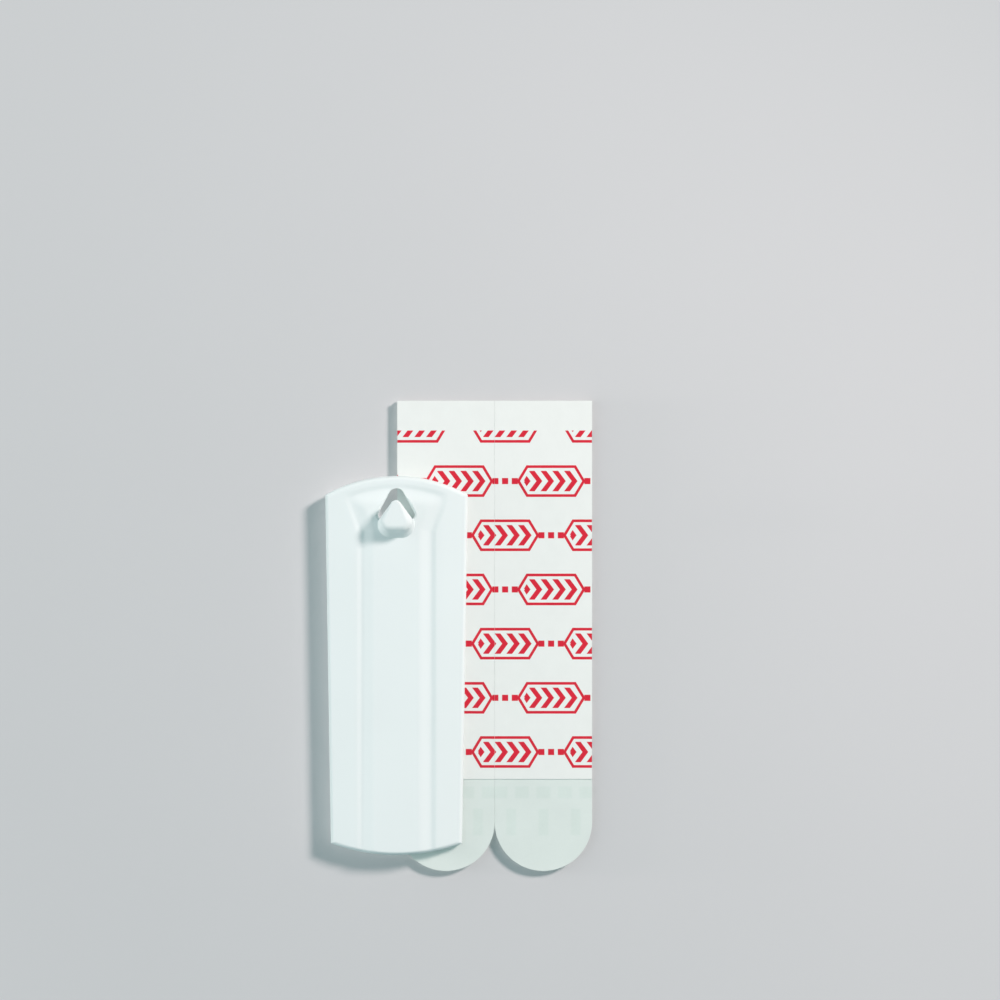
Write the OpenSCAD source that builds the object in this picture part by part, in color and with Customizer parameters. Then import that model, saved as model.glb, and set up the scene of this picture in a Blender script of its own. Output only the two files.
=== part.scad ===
// Adhesive picture hook: a moulded sawtooth hanger and a pair of stretch-release strips.
// Front faces -Y, the wall plane is Y = 0, +Z is up.
// The origin is the centre of the left strip's bonded part, on the wall plane.
// Every piece is drawn lying flat, with x to the right, y up the wall and z towards the viewer,
// and upright() stands it against the wall.

/* [Strips] */
// Width of one strip
strip_w = 19; // [14:0.5:24]
// Length of the bonded part of a strip, which the liners cover
bond_len = 74; // [50:1:110]
// Length of a pull tab, with its round end
tab_len = 18; // [13:0.5:30]
// Width of the slit between the two strips
slit_w = 0.1; // [0.1:0.05:0.6]
// Thickness of the foam core
foam_t = 0.8; // [0.4:0.1:2]
// Thickness of one adhesive layer
adhesive_t = 0.15; // [0.05:0.05:0.3]
// Thickness of one release liner
liner_t = 0.15; // [0.05:0.05:0.3]
// Length of one uncut bridge across the slit
bridge_len = 1; // [0.5:0.1:2]
// Number of uncut bridges across the slit
bridge_count = 5; // [2:1:9]

/* [Hanger plate] */
// Length of the plate at its middle
hanger_len = 74; // [60:1:110]
// Width across the top corners
hanger_top_w = 27.8; // [25:0.2:34]
// Width across the bottom corners
hanger_bottom_w = 25.6; // [22:0.2:32]
// Rise of the curved top edge over its corners
top_rise = 3.7; // [2:0.1:5]
// Drop of the curved bottom edge below its corners
bottom_rise = 2.3; // [1:0.1:4]
// Thickness of the border at its rounded outer edge
edge_t = 2.4; // [2:0.1:3]
// Distance that the border's edge is lower along the curved ends
end_drop = 0.2; // [0.1:0.05:0.4]
// Radius of the rounded outer edge
edge_round = 1.2; // [0.5:0.1:1.6]
// Thickness of the border beside the centre panel
ridge_t = 3; // [3:0.1:4]
// Width of the border's slope along the sides
side_slope_w = 5; // [3:0.1:5.2]
// Width of the border's slope along the curved ends
end_slope_w = 3.6; // [2:0.1:4]

/* [Centre panel] */
// Width of the panel along the plate
panel_w = 13.8; // [12:0.2:16]
// Width of the panel's head across its top corners
panel_head_w = 18.2; // [17:0.2:21]
// Distance from the plate's top edge to the head's top edge
panel_top_margin = 2.4; // [2:0.1:3]
// Distance from the plate's top edge down to the head's corners
panel_corner_drop = 5; // [4.5:0.1:6]
// Distance from the plate's top edge down to where the head starts to widen
panel_flare_drop = 10.8; // [9:0.1:14]
// Distance from the plate's bottom edge to the panel's bottom edge
panel_bottom_margin = 1.6; // [1.5:0.1:3]
// Thickness of the plate at the middle of the panel
panel_t = 3.4; // [3.4:0.1:4.4]
// Width of the soft shoulder along the panel's edge
panel_shoulder = 2.4; // [1:0.1:3]
// Width of the groove round the panel
groove_w = 0.6; // [0.3:0.1:1]
// Depth of the groove below the border
groove_depth = 0.3; // [0.1:0.05:0.6]

/* [Hook] */
// Distance from the plate's top edge to the top of the hole
hole_top_margin = 2.4; // [2:0.1:4]
// Width of the hole at its foot
hole_w = 7.4; // [6:0.2:9]
// Height of the hole
hole_h = 6.1; // [5:0.1:8]
// Radius at the top of the hole
hole_top_r = 1.6; // [1:0.1:2]
// Distance from the top of the hole to the hook's tip
tip_drop = 2.3; // [1:0.1:3]
// Radius of the hook's tip
tip_r = 1; // [0.6:0.1:1.3]
// Width of the hook's body
hook_w = 7.2; // [6:0.2:8]
// Height of the hook, tip to root
hook_len = 7.6; // [7:0.1:9]
// Clear gap behind the hook's tip, for the toothed bar
hook_gap = 2; // [1.2:0.1:3]
// Height of the hook's rounded body above the panel
belly_h = 4; // [3.4:0.1:5]

/* [Back of the hanger] */
// Diameter of an ejector mark
ejector_d = 3; // [2:0.5:5]
// Depth of an ejector mark
ejector_depth = 0.2; // [0.1:0.05:0.4]
// Spacing of the ejector marks along the plate
ejector_pitch = 25; // [15:1:28]

/* [Layout] */
// Distance that the hanger lies to the left of its seat on the left strip
packed_left = 9.6; // [0:0.1:12]
// Distance that the hanger lies below its seat on the left strip
packed_down = 14.7; // [0:0.1:18]

/* [Hidden] */
$fn = 72;

// Centre lines of the two strips
left = 0;
right = strip_w + slit_w;

// Levels of the layers, from the wall out
back_adhesive_z = liner_t;
foam_z = back_adhesive_z + adhesive_t;
front_adhesive_z = foam_z + foam_t;
front_liner_z = front_adhesive_z + adhesive_t;
stack_t = front_liner_z + liner_t;

// Lower end of the bonded part
bond_bottom = -bond_len / 2;

// Ends and corners of the plate
plate_top = hanger_len / 2;
plate_bottom = -hanger_len / 2;
top_corner_y = plate_top - top_rise;
bottom_corner_y = plate_bottom + bottom_rise;
side_lean = atan2((hanger_top_w - hanger_bottom_w) / 2, top_corner_y - bottom_corner_y);

// Radii of the plate's curved ends
function arc_radius(chord, rise) = chord * chord / (8 * rise) + rise / 2;
top_radius = arc_radius(hanger_top_w, top_rise);
bottom_radius = arc_radius(hanger_bottom_w, bottom_rise);

// Levels and places on the hanger
groove_z = ridge_t - groove_depth;
panel_root_z = edge_t / 2;
side_foot_z = groove_z + 0.5 * groove_depth;
head_foot_z = groove_z + 0.35 * groove_depth;
end_foot_z = groove_z + 0.65 * groove_depth;
head_y = plate_top - panel_corner_drop;
flare_y = plate_top - panel_flare_drop;
head_lean = atan2((panel_head_w - panel_w) / 2, head_y - flare_y);
hole_top_y = plate_top - hole_top_margin;
hole_foot_y = hole_top_y - hole_h;
tip_y = hole_top_y - tip_drop;
hook_root_y = tip_y - hook_len;

// Sides of the circles that the plate's curved ends are cut from
arc_sides = 160;

// Steps in a rounded edge, and in each round of the hook
round_steps = 4;
drop_steps = 8;

// Distance that a cut runs past the face it opens
past = 1;

module upright() rotate([90, 0, 0]) children();

module layer(z, t) upright() translate([0, 0, z]) linear_extrude(t) children();

// Outline of the bonded part of a strip
module bond_outline(centre_x) {
    translate([centre_x - strip_w / 2, bond_bottom]) square([strip_w, bond_len]);
}

// Outline of a pull tab: straight below the bond, then a full round
module tab_outline(centre_x) {
    round_y = bond_bottom - tab_len + strip_w / 2;
    translate([centre_x - strip_w / 2, round_y]) square([strip_w, bond_bottom - round_y]);
    intersection() {
        translate([centre_x, round_y]) circle(d = strip_w);
        translate([centre_x - strip_w / 2, bond_bottom - tab_len]) square([strip_w, strip_w / 2]);
    }
}

module foam_core(centre_x) color("white") layer(foam_z, foam_t) bond_outline(centre_x);

module front_adhesive(centre_x) color("whitesmoke") layer(front_adhesive_z, adhesive_t) bond_outline(centre_x);

module back_adhesive(centre_x) color("whitesmoke") layer(back_adhesive_z, adhesive_t) bond_outline(centre_x);

module front_liner(centre_x) color("crimson") layer(front_liner_z, liner_t) bond_outline(centre_x);

module back_liner(centre_x) color("gainsboro") layer(0, liner_t) bond_outline(centre_x);

module tab_core(centre_x) color("honeydew") layer(foam_z, foam_t) tab_outline(centre_x);

module tab_front_film(centre_x) color("azure") layer(front_adhesive_z, adhesive_t) tab_outline(centre_x);

module tab_back_film(centre_x) color("azure") layer(back_adhesive_z, adhesive_t) tab_outline(centre_x);

// Short lengths of foam left uncut in the slit, evenly spaced along the bond
module tear_bridges() {
    pitch = bond_len / bridge_count;
    color("white") layer(foam_z, foam_t)
        for (i = [0 : bridge_count - 1])
            translate([strip_w / 2, bond_bottom + pitch * (i + 0.5) - bridge_len / 2])
                square([slit_w, bridge_len]);
}

// Everything below an arc that crests at the top of the plate, less a margin
module under_arc(radius, margin) {
    centre_y = plate_top - radius;
    translate([0, centre_y]) circle(radius - margin, $fn = arc_sides);
    translate([margin - radius, -hanger_len]) square([2 * (radius - margin), hanger_len + centre_y]);
}

// What lies between the plate's two curved ends, less a margin at each
module between_ends(top_margin, bottom_margin) intersection() {
    under_arc(top_radius, top_margin);
    mirror([0, 1]) under_arc(bottom_radius, bottom_margin);
}

// Outline of the plate: tapered sides between the curved ends
module plate_outline() intersection() {
    top_half_w = hanger_top_w / 2 + top_rise * tan(side_lean);
    bottom_half_w = hanger_bottom_w / 2 - bottom_rise * tan(side_lean);
    polygon([
        [-bottom_half_w, plate_bottom], [bottom_half_w, plate_bottom],
        [top_half_w, plate_top], [-top_half_w, plate_top]
    ]);
    between_ends(0, 0);
}

// Outline of the centre panel: straight along the plate, with a head that widens to the top
module panel_outline(grow) intersection() {
    half_w = panel_w / 2 + grow;
    top_half_w = half_w + panel_flare_drop * tan(head_lean);
    polygon([
        [-half_w, plate_bottom], [half_w, plate_bottom], [half_w, flare_y],
        [top_half_w, plate_top], [-top_half_w, plate_top], [-half_w, flare_y]
    ]);
    between_ends(panel_top_margin - grow, panel_bottom_margin - grow);
}

// Edge profiles are lines of [distance in from the edge, height above the back]
// Profiles that meet at a corner start at different heights, so no four faces meet in one point there
// The plate's edge: a round-over, then a slope up to the ridge beside the panel
function plate_edge(rim_t, run) = concat(
    [for (i = [0 : round_steps]) let (turn = 90 * i / round_steps)
        [edge_round * (1 - cos(turn)), rim_t - edge_round * (1 - sin(turn))]],
    [[run, ridge_t]]
);

// The panel's edge: a soft shoulder from a height in the groove to the flat of the panel
function panel_edge(foot_z) = [for (i = [0 : round_steps]) let (turn = 90 * i / round_steps)
    [panel_shoulder * (1 - cos(turn)), foot_z + (panel_t - foot_z) * sin(turn)]];

// The section that is cut away above an edge profile, with the profile's first and last lines run on
function relief(edge) =
    let (last = len(edge) - 1, low = 2 * edge[0] - edge[1], high = 2 * edge[last] - edge[last - 1])
    concat(
        [[-hanger_top_w, low[1]], low],
        [for (i = [1 : last - 1]) edge[i]],
        [high, high + [0, past], [-hanger_top_w, high[1] + past]]
    );

// The cut above a straight edge that passes a point on the right and leans out to the top
module side_relief(point, lean, edge) translate(point) rotate([0, 0, -lean]) mirror([1, 0, 0])
    translate([0, hanger_len, 0]) rotate([90, 0, 0]) linear_extrude(2 * hanger_len) polygon(relief(edge));

// The cut above a curved edge that crests at the top of the plate, less a margin
module crest_relief(radius, margin, edge) translate([0, plate_top - radius, 0])
    rotate_extrude(angle = 180, $fn = arc_sides)
        polygon([for (p = relief(edge)) [radius - margin - p[0], p[1]]]);

// The plate, with a rounded edge and a border that rises to the ridge beside the panel
module plate_body() difference() {
    linear_extrude(ridge_t) plate_outline();
    for (side = [0, 1]) mirror([side, 0, 0])
        side_relief([hanger_top_w / 2, top_corner_y, 0], side_lean, plate_edge(edge_t, side_slope_w));
    crest_relief(top_radius, 0, plate_edge(edge_t - end_drop, end_slope_w));
    mirror([0, 1, 0]) crest_relief(bottom_radius, 0, plate_edge(edge_t - end_drop, end_slope_w));
    translate([0, 0, groove_z]) linear_extrude(ridge_t) panel_outline(groove_w);
}

// The raised centre panel, rooted inside the plate, with a soft shoulder all round
module panel_body() difference() {
    translate([0, 0, panel_root_z]) linear_extrude(panel_t - panel_root_z) panel_outline(0);
    for (side = [0, 1]) mirror([side, 0, 0]) intersection() {
        side_relief([panel_w / 2, flare_y, 0], 0, panel_edge(side_foot_z));
        side_relief([panel_w / 2, flare_y, 0], head_lean, panel_edge(head_foot_z));
    }
    crest_relief(top_radius, panel_top_margin, panel_edge(end_foot_z));
    mirror([0, 1, 0]) crest_relief(bottom_radius, panel_bottom_margin, panel_edge(end_foot_z));
}

// Outline of the arch-shaped hole: a round top on straight legs that lean out to the foot
module arch_outline() {
    top_y = hole_top_y - hole_top_r;
    foot = [hole_w / 2, hole_foot_y];
    span = norm(foot - [0, top_y]);
    lean = acos(hole_top_r / span) - atan2(top_y - foot[1], foot[0]);
    touch = [hole_top_r * cos(lean), top_y + hole_top_r * sin(lean)];
    translate([0, top_y]) circle(hole_top_r);
    polygon([[-foot[0], foot[1]], foot, touch, [-touch[0], touch[1]]]);
}

// The hole through the plate
module arch_cut() translate([0, 0, -past]) linear_extrude(panel_t + 2 * past) arch_outline();

// Profile of the drop: a large round and a small one on one axis, with a straight flank between them
function drop_profile(low_r, high_r, reach) = let (flank = asin((low_r - high_r) / reach)) concat(
    [for (i = [0 : drop_steps]) let (turn = -90 + (flank + 90) * i / drop_steps)
        low_r * [cos(turn), sin(turn)]],
    [for (i = [0 : drop_steps]) let (turn = flank + (90 - flank) * i / drop_steps)
        [0, reach] + high_r * [cos(turn), sin(turn)]]
);

// The hook: a drop-shaped nub, round at its root, that leans out to a tip clear in front of the hole
module hook() difference() {
    belly_r = hook_w / 2;
    belly = [hook_root_y + belly_r, panel_t + belly_h - belly_r];
    tip = [tip_y - tip_r, panel_t + hook_gap + tip_r];
    lean = atan2(tip[1] - belly[1], tip[0] - belly[0]);
    translate([0, belly[0], belly[1]]) rotate([lean - 90, 0, 0])
        rotate_extrude() polygon(drop_profile(belly_r, tip_r, norm(tip - belly)));
    // The gap behind the tip, and what would sink through the plate
    translate([-hook_w, hole_foot_y, -belly_h]) cube([2 * hook_w, hook_len, belly_h + panel_t + hook_gap]);
    translate([-hook_w, hook_root_y - past, -belly_h]) cube([2 * hook_w, 2 * hook_len, belly_h + panel_root_z]);
}

// Shallow round marks on the back
module ejector_marks() {
    for (i = [-1 : 1])
        translate([0, i * ejector_pitch, -past])
            cylinder(h = past + ejector_depth, d = ejector_d);
}

module hanger() color("white") upright() translate([-packed_left, -packed_down, stack_t]) {
    difference() {
        union() {
            plate_body();
            panel_body();
        }
        arch_cut();
        ejector_marks();
    }
    hook();
}

hanger();
foam_core(left);  // left_foam_core
front_adhesive(left);  // left_front_adhesive
back_adhesive(left);  // left_back_adhesive
tab_core(left);  // left_tab_core
tab_front_film(left);  // left_tab_front_film
tab_back_film(left);  // left_tab_back_film
front_liner(left);  // left_front_liner
back_liner(left);  // left_back_liner
foam_core(right);  // right_foam_core
front_adhesive(right);  // right_front_adhesive
back_adhesive(right);  // right_back_adhesive
tab_core(right);  // right_tab_core
tab_front_film(right);  // right_tab_front_film
tab_back_film(right);  // right_tab_back_film
front_liner(right);  // right_front_liner
back_liner(right);  // right_back_liner
tear_bridges();
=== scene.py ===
import math

import bmesh
import bpy
from bpy.props import FloatProperty, FloatVectorProperty, IntProperty, PointerProperty
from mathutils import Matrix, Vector


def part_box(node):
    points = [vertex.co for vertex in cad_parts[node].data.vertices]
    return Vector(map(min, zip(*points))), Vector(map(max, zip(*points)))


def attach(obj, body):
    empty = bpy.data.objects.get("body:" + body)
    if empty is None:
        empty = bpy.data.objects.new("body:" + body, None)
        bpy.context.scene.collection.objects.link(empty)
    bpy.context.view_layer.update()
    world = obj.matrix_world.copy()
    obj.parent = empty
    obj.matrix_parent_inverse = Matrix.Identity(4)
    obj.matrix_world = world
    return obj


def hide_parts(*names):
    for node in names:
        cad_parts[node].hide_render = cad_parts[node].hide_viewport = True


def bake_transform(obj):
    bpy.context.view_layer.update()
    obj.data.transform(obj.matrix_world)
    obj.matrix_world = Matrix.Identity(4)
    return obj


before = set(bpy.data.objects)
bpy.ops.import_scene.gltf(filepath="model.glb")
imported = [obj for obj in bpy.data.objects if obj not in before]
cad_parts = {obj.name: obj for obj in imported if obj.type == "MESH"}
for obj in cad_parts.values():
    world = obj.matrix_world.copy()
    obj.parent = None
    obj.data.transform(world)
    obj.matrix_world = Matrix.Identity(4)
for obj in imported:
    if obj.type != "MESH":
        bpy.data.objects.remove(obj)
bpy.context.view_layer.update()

bl_info = {
    "name": "Adhesive Picture Hook",
    "version": (1, 0, 0),
    "blender": (4, 5, 0),
    "location": "View3D > Sidebar > Picture Hook",
    "description": "Builds a moulded picture hanger and its pair of stretch-release strips",
    "category": "Object",
}

SIDES = ("left", "right")
ACROSS = Vector((1.0, 0.0, 0.0))
BACK = Vector((0.0, 1.0, 0.0))
FRONT = Vector((0.0, -1.0, 0.0))
UP = Vector((0.0, 0.0, 1.0))
MM = 0.001
HANGER_LOW, HANGER_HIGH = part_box("hanger")
LINER_LOW, LINER_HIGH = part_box("left_front_liner")

# Tolerances in metres: to merge points, to snap a cut to a point and to call heights level
MERGE = 4e-6
SNAP = 1e-6
LEVEL = 1e-7

# Edges along each arc
TOP_STEPS, BOTTOM_STEPS, TIP_STEPS, CORNER_STEPS = 72, 60, 24, 20
BACK_STEPS, RIM_STEPS, FLOW_STEPS, FACE_STEPS = 3, 9, 16, 8
MARK_STEPS, TAB_STEPS = 48, 48

# Sharpest bend between faces that are shaded smooth
SMOOTH_ANGLE = math.radians(40)

# Where the liners' print starts, across and up, in millimetres
PRINT_ACROSS, PRINT_UP = 2.6, -5.2

# Each lamp's place from the aim, diameter, watts and tint, and the light from all round
WARM, WHITE = (1.0, 0.833, 0.818), (1.0, 1.0, 1.0)
LAMPS = {
    "key": ((0.62, -0.58, 0.41), 0.2, 9.1, WARM),
    "fill": ((-0.75, -0.5, -0.05), 1.8, 5.7, WHITE),
    "rake": ((-1.0, -0.09, 0.0), 0.1, 3.1, WARM),
    "back": ((-0.35, 0.9, 0.1), 0.7, 8.5, WARM),
}
AMBIENT, AMBIENT_STRENGTH = (0.63, 0.963, 1.0, 1.0), 0.317


def length(description, default):
    """A size in metres, as a property that a user may change."""
    return FloatProperty(
        description=description, default=default, min=0.0, precision=5, subtype="DISTANCE", unit="LENGTH"
    )


def colour(description, default):
    """A colour as a property that a user may change."""
    return FloatVectorProperty(
        description=description, default=default, size=3, min=0.0, max=1.0, subtype="COLOR"
    )


class HangerSizes(bpy.types.PropertyGroup):
    """Sizes of the moulded hanger."""

    plate_length: length("Length of the plate at its middle", HANGER_HIGH.z - HANGER_LOW.z)
    top_width: length("Width across the plate's top corners", HANGER_HIGH.x - HANGER_LOW.x)
    bottom_width: length("Width across the plate's bottom corners", 0.0256)
    top_rise: length("Rise of the curved top edge over its corners", 0.0037)
    bottom_rise: length("Drop of the curved bottom edge below its corners", 0.0023)
    edge_thickness: length("Thickness of the border at its rounded edge", 0.0024)
    edge_round: length("Radius of the rounded outer edge", 0.0008)
    ridge_thickness: length("Thickness of the border beside the panel", 0.003)
    side_slope: length("Width of the border's slope along the sides", 0.0054)
    panel_width: length("Width of the centre panel along the plate", 0.0138)
    panel_head_width: length("Width of the panel across its top corners", 0.0182)
    panel_top_margin: length("From the plate's top edge to the panel's", 0.0024)
    panel_corner_drop: length("From the plate's top to the head's corners", 0.005)
    panel_flare_drop: length("From the plate's top to where the head widens", 0.0108)
    panel_thickness: length("Thickness at the middle of the panel", 0.0034)
    panel_shoulder: length("Width of the soft shoulder along the panel", 0.0028)
    groove_mouth: length("From the groove's foot to its outer end", 0.0012)
    groove_foot: length("From the panel's edge in to the foot of the groove", 0.0002)
    groove_depth: length("Depth of the groove below the border", 0.00022)
    hole_margin: length("From the plate's top edge to the top of the hole", 0.0024)
    hole_width: length("Width of the arched hole at its foot", 0.0072)
    hole_height: length("Height of the arched hole", 0.006)
    hole_round: length("Radius at the top of the arched hole", 0.0016)
    foot_round: length("Radius in the corners at the hole's foot", 0.0008)
    hole_chamfer: length("Width of the chamfer round the hole's mouth", 0.0004)
    tip_drop: length("From the top of the hole to the hook's tip", 0.0023)
    tip_round: length("Radius of the hook's tip", 0.00105)
    root_width: length("Width of the hook at the panel", 0.0072)
    root_length: length("From the hook's tip down to the foot of its root", 0.0074)
    root_round: length("Radius of the root's lower corners", 0.0026)
    face_width: length("Width of the hook's face", 0.0063)
    face_length: length("From the hook's tip down to the foot of its face", 0.0061)
    face_round: length("Radius of the face's lower corners", 0.0019)
    hook_edge: length("Radius round the edge of the hook's face", 0.0013)
    hook_gap: length("Clear gap behind the hook's tip", 0.002)
    hook_height: length("Height of the hook's face above the panel", 0.00398)
    mark_diameter: length("Diameter of an ejector mark on the back", 0.003)
    mark_depth: length("Depth of an ejector mark on the back", 0.0002)
    mark_pitch: length("Spacing of the ejector marks along the plate", 0.025)
    back_round: length("Radius of the edge round the plate's back", 0.0002)
    seat_gap: length("Clearance behind the plate", 0.00001)


class StripSizes(bpy.types.PropertyGroup):
    """Sizes of the adhesive strips."""

    foam_round: length("Rounding along the edges of the foam", 0.00016)
    sheet_round: length("Rounding along the edges of the thin sheets", 0.00003)
    stretch_rows: IntProperty(description="Rows of faces along a layer", default=72, min=8, max=200)
    slit_lean: length("How far a sheet's cut edge leans into the slit", 0.000035)
    blank_band: length("Height of the bare band at the top of a liner", 0.0058)
    motif_pitch: length("Distance between motifs in a row", 0.018)
    motif_row: length("Distance between rows of the print", 0.0106)


class Finishes(bpy.types.PropertyGroup):
    """Colours of the pieces and of the stage."""

    plastic: colour("Moulded plastic of the hanger", (0.785, 0.862, 0.858))
    paper: colour("Glazed paper of the release liners", (0.805, 0.85, 0.825))
    front_ink: colour("Print on the front liners", (0.62, 0.012, 0.034))
    back_ink: colour("Print on the back liners", (0.055, 0.058, 0.062))
    foam: colour("Stretchable foam of the strips", (0.8, 0.815, 0.8))
    adhesive: colour("Tacky layer on the foam", (0.74, 0.765, 0.74))
    tab: colour("Milky film of the pull tabs", (0.69, 0.775, 0.74))
    tab_mark: colour("Faint marks on the pull tabs", (0.63, 0.725, 0.685))
    backdrop: colour("Wall and floor behind the part", (0.6, 0.62, 0.63))


def sizes():
    return bpy.context.scene.hook_hanger_sizes


def strip_sizes():
    return bpy.context.scene.hook_strip_sizes


def finishes():
    return bpy.context.scene.hook_finishes


# Selecting and shaping

def deselect_all():
    """Object mode with nothing selected, so that an operator acts only on what is added next."""
    if bpy.context.mode != "OBJECT":
        bpy.ops.object.mode_set(mode="OBJECT")
    bpy.ops.object.select_all(action="DESELECT")


def activate(obj):
    deselect_all()
    obj.select_set(True)
    bpy.context.view_layer.objects.active = obj


def select_mesh(action="SELECT"):
    """Selects all of the open mesh, or none of it."""
    bpy.ops.mesh.select_all(action=action)


def open_mesh(obj, mode="FACE"):
    """Edit mode on one object, with nothing selected."""
    activate(obj)
    bpy.ops.object.mode_set(mode="EDIT")
    bpy.ops.mesh.select_mode(type=mode)
    select_mesh("DESELECT")


def extrude(by):
    bpy.ops.mesh.extrude_region_move(TRANSFORM_OT_translate={"value": by})


def pick(obj, kind, test):
    """Selects the faces or edges that pass a test."""
    mesh = bmesh.from_edit_mesh(obj.data)
    found = [item for item in getattr(mesh, kind) if test(item)]
    for item in found:
        item.select_set(True)
    mesh.select_flush_mode()
    bmesh.update_edit_mesh(obj.data)
    if not found:
        raise RuntimeError(f"{obj.name}: no {kind} there")


def middle(edge):
    return (edge.verts[0].co + edge.verts[1].co) / 2


def runs_up(edge):
    """True where an edge runs straight up the wall."""
    run = edge.verts[1].co - edge.verts[0].co
    return abs(run.z) > 0.99 * run.length


def lies_at(item, y):
    """True where a face or an edge lies at one distance from the wall."""
    return all(abs(v.co.y - y) < LEVEL for v in item.verts)


def close_mesh(obj):
    """Merges doubles, turns the faces outwards and leaves edit mode."""
    if bpy.context.mode != "EDIT_MESH":
        open_mesh(obj)
    select_mesh()
    bpy.ops.mesh.remove_doubles(threshold=MERGE)
    bpy.ops.mesh.normals_make_consistent(inside=False)
    bpy.ops.object.mode_set(mode="OBJECT")


def new_piece(name):
    """Names the object that was just added and puts its place into its mesh."""
    obj = bpy.context.active_object
    obj.name = obj.data.name = name
    bpy.ops.object.transform_apply(location=True, rotation=True, scale=True)
    return obj


def add_block(name, low, high):
    deselect_all()
    low, high = Vector(low), Vector(high)
    bpy.ops.mesh.primitive_cube_add(size=1.0, location=(low + high) / 2, scale=high - low)
    return new_piece(name)


def add_point(name, place):
    """A mesh of a single vertex, to draw an outline from."""
    deselect_all()
    bpy.ops.mesh.primitive_plane_add(size=MM, location=place)
    obj = new_piece(name)
    open_mesh(obj, "VERT")
    select_mesh()
    bpy.ops.mesh.merge(type="CENTER")
    return obj


def draw_ring(name, start, moves):
    """Draws a closed ring of edges in the wall's plane.

    Each move is a point to draw to, or the centre, right-handed angle and steps of an arc.
    """
    obj = add_point(name, start)
    for move in moves:
        if isinstance(move, Vector):
            last = next(v.co for v in bmesh.from_edit_mesh(obj.data).verts if v.select)
            extrude(move - last)
        else:
            centre, angle, steps = move
            bpy.ops.mesh.spin(steps=steps, angle=-angle, center=centre, axis=BACK)
    select_mesh()
    bpy.ops.mesh.remove_doubles(threshold=MERGE)
    bpy.ops.object.mode_set(mode="OBJECT")
    return obj


def thicken(ring, height):
    """Fills a ring and extrudes it towards the viewer."""
    open_mesh(ring, "VERT")
    select_mesh()
    bpy.ops.mesh.edge_face_add()
    bpy.ops.mesh.select_mode(type="FACE")
    select_mesh()
    extrude(FRONT * height)
    select_mesh()
    bpy.ops.mesh.normals_make_consistent(inside=False)
    select_mesh("DESELECT")


def bridge_rings(rings):
    """A closed solid bridged from ring to ring, back to front."""
    activate(rings[0])
    levels = [ring.data.vertices[0].co.y for ring in rings]
    for ring in rings[1:]:
        ring.select_set(True)
    bpy.ops.object.join()
    obj = bpy.context.active_object
    open_mesh(obj, "EDGE")
    for pair in zip(levels, levels[1:]):
        select_mesh("DESELECT")
        pick(obj, "edges", lambda edge: any(lies_at(edge, y) for y in pair))
        bpy.ops.mesh.bridge_edge_loops()
    select_mesh()
    bpy.ops.mesh.fill_holes(sides=0)
    close_mesh(obj)
    return obj


def meet_round(start, run, centre_up, radius):
    """Where a line from a point meets a circle that is centred on the middle line."""
    away = start - Vector((0, centre_up))
    lean = away.dot(run)
    return start + run * (math.sqrt(lean * lean - away.length_squared + radius * radius) - lean)


def spread(low, high, step):
    """Places between two ends, evenly spread, no further apart than a step."""
    count = math.ceil((high - low) / step)
    return [low + (high - low) * (i + 0.5) / count for i in range(count)]


def quarter_turn(steps):
    """Angles from nothing to a quarter turn."""
    return [math.pi / 2 * i / steps for i in range(steps + 1)]


def clamp(part):
    return min(1.0, max(0.0, part))


def ease(part):
    """From nothing to one, with a soft start and end."""
    part = clamp(part)
    return part * part * (3 - 2 * part)


def dome(part):
    """Width of a full, flat-topped dome at a part of its height, never quite closed."""
    fullness, least = 3, 0.008
    return max(least, 1 - abs(part) ** fullness) ** (1 / fullness)


def soft_min(a, b, blend):
    """The smaller of two values, eased where they are within a blend of each other."""
    closeness = max(0.0, 1 - abs(a - b) / blend)
    return min(a, b) - closeness * closeness * blend / 4


def combine(obj, other, operation):
    """Joins another solid to a piece, or cuts it out, and removes that solid."""
    activate(obj)
    modifier = obj.modifiers.new(operation.lower(), "BOOLEAN")
    modifier.operation = operation
    modifier.solver = "EXACT"
    modifier.object = other
    bpy.ops.object.modifier_apply(modifier=modifier.name)
    bpy.data.objects.remove(other)


def smooth(obj):
    """Smooth shading up to an angle, with the flat faces kept flat."""
    activate(obj)
    bpy.ops.object.shade_smooth_by_angle(angle=SMOOTH_ANGLE)
    weighted = obj.modifiers.new("even_normals", "WEIGHTED_NORMAL")
    weighted.keep_sharp = True
    weighted.weight = 50
    bpy.ops.object.modifier_apply(modifier=weighted.name)


# Node helpers

def add_node(tree, kind, values=None, **settings):
    node = tree.nodes.new(kind)
    for name, value in settings.items():
        setattr(node, name, value)
    for socket, value in (values or {}).items():
        set_input(tree, node.inputs[socket], value)
    return node


def set_input(tree, socket, value):
    """Links a socket to another one, or sets its value."""
    if isinstance(value, bpy.types.NodeSocket):
        tree.links.new(value, socket)
    else:
        socket.default_value = value


def calc(tree, operation, *values):
    """A Math node's result."""
    return add_node(tree, "ShaderNodeMath", dict(enumerate(values)), operation=operation).outputs[0]


def calc_vector(tree, operation, *values):
    """A Vector Math node."""
    return add_node(tree, "ShaderNodeVectorMath", dict(enumerate(values)), operation=operation)


def either(tree, *masks):
    """The union of masks."""
    total = masks[0]
    for mask in masks[1:]:
        total = calc(tree, "MAXIMUM", total, mask)
    return total


def mix_colour(tree, factor, a, b):
    values = {"Factor": factor, "A": a, "B": b}
    return add_node(tree, "ShaderNodeMix", values, data_type="RGBA").outputs["Result"]


def mix_shader(tree, factor, a, b):
    return add_node(tree, "ShaderNodeMixShader", {0: factor, 1: a, 2: b}).outputs[0]


def noise(tree, place, scale, detail):
    values = {"Vector": place, "Scale": scale, "Detail": detail}
    return add_node(tree, "ShaderNodeTexNoise", values).outputs["Fac"]


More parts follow.
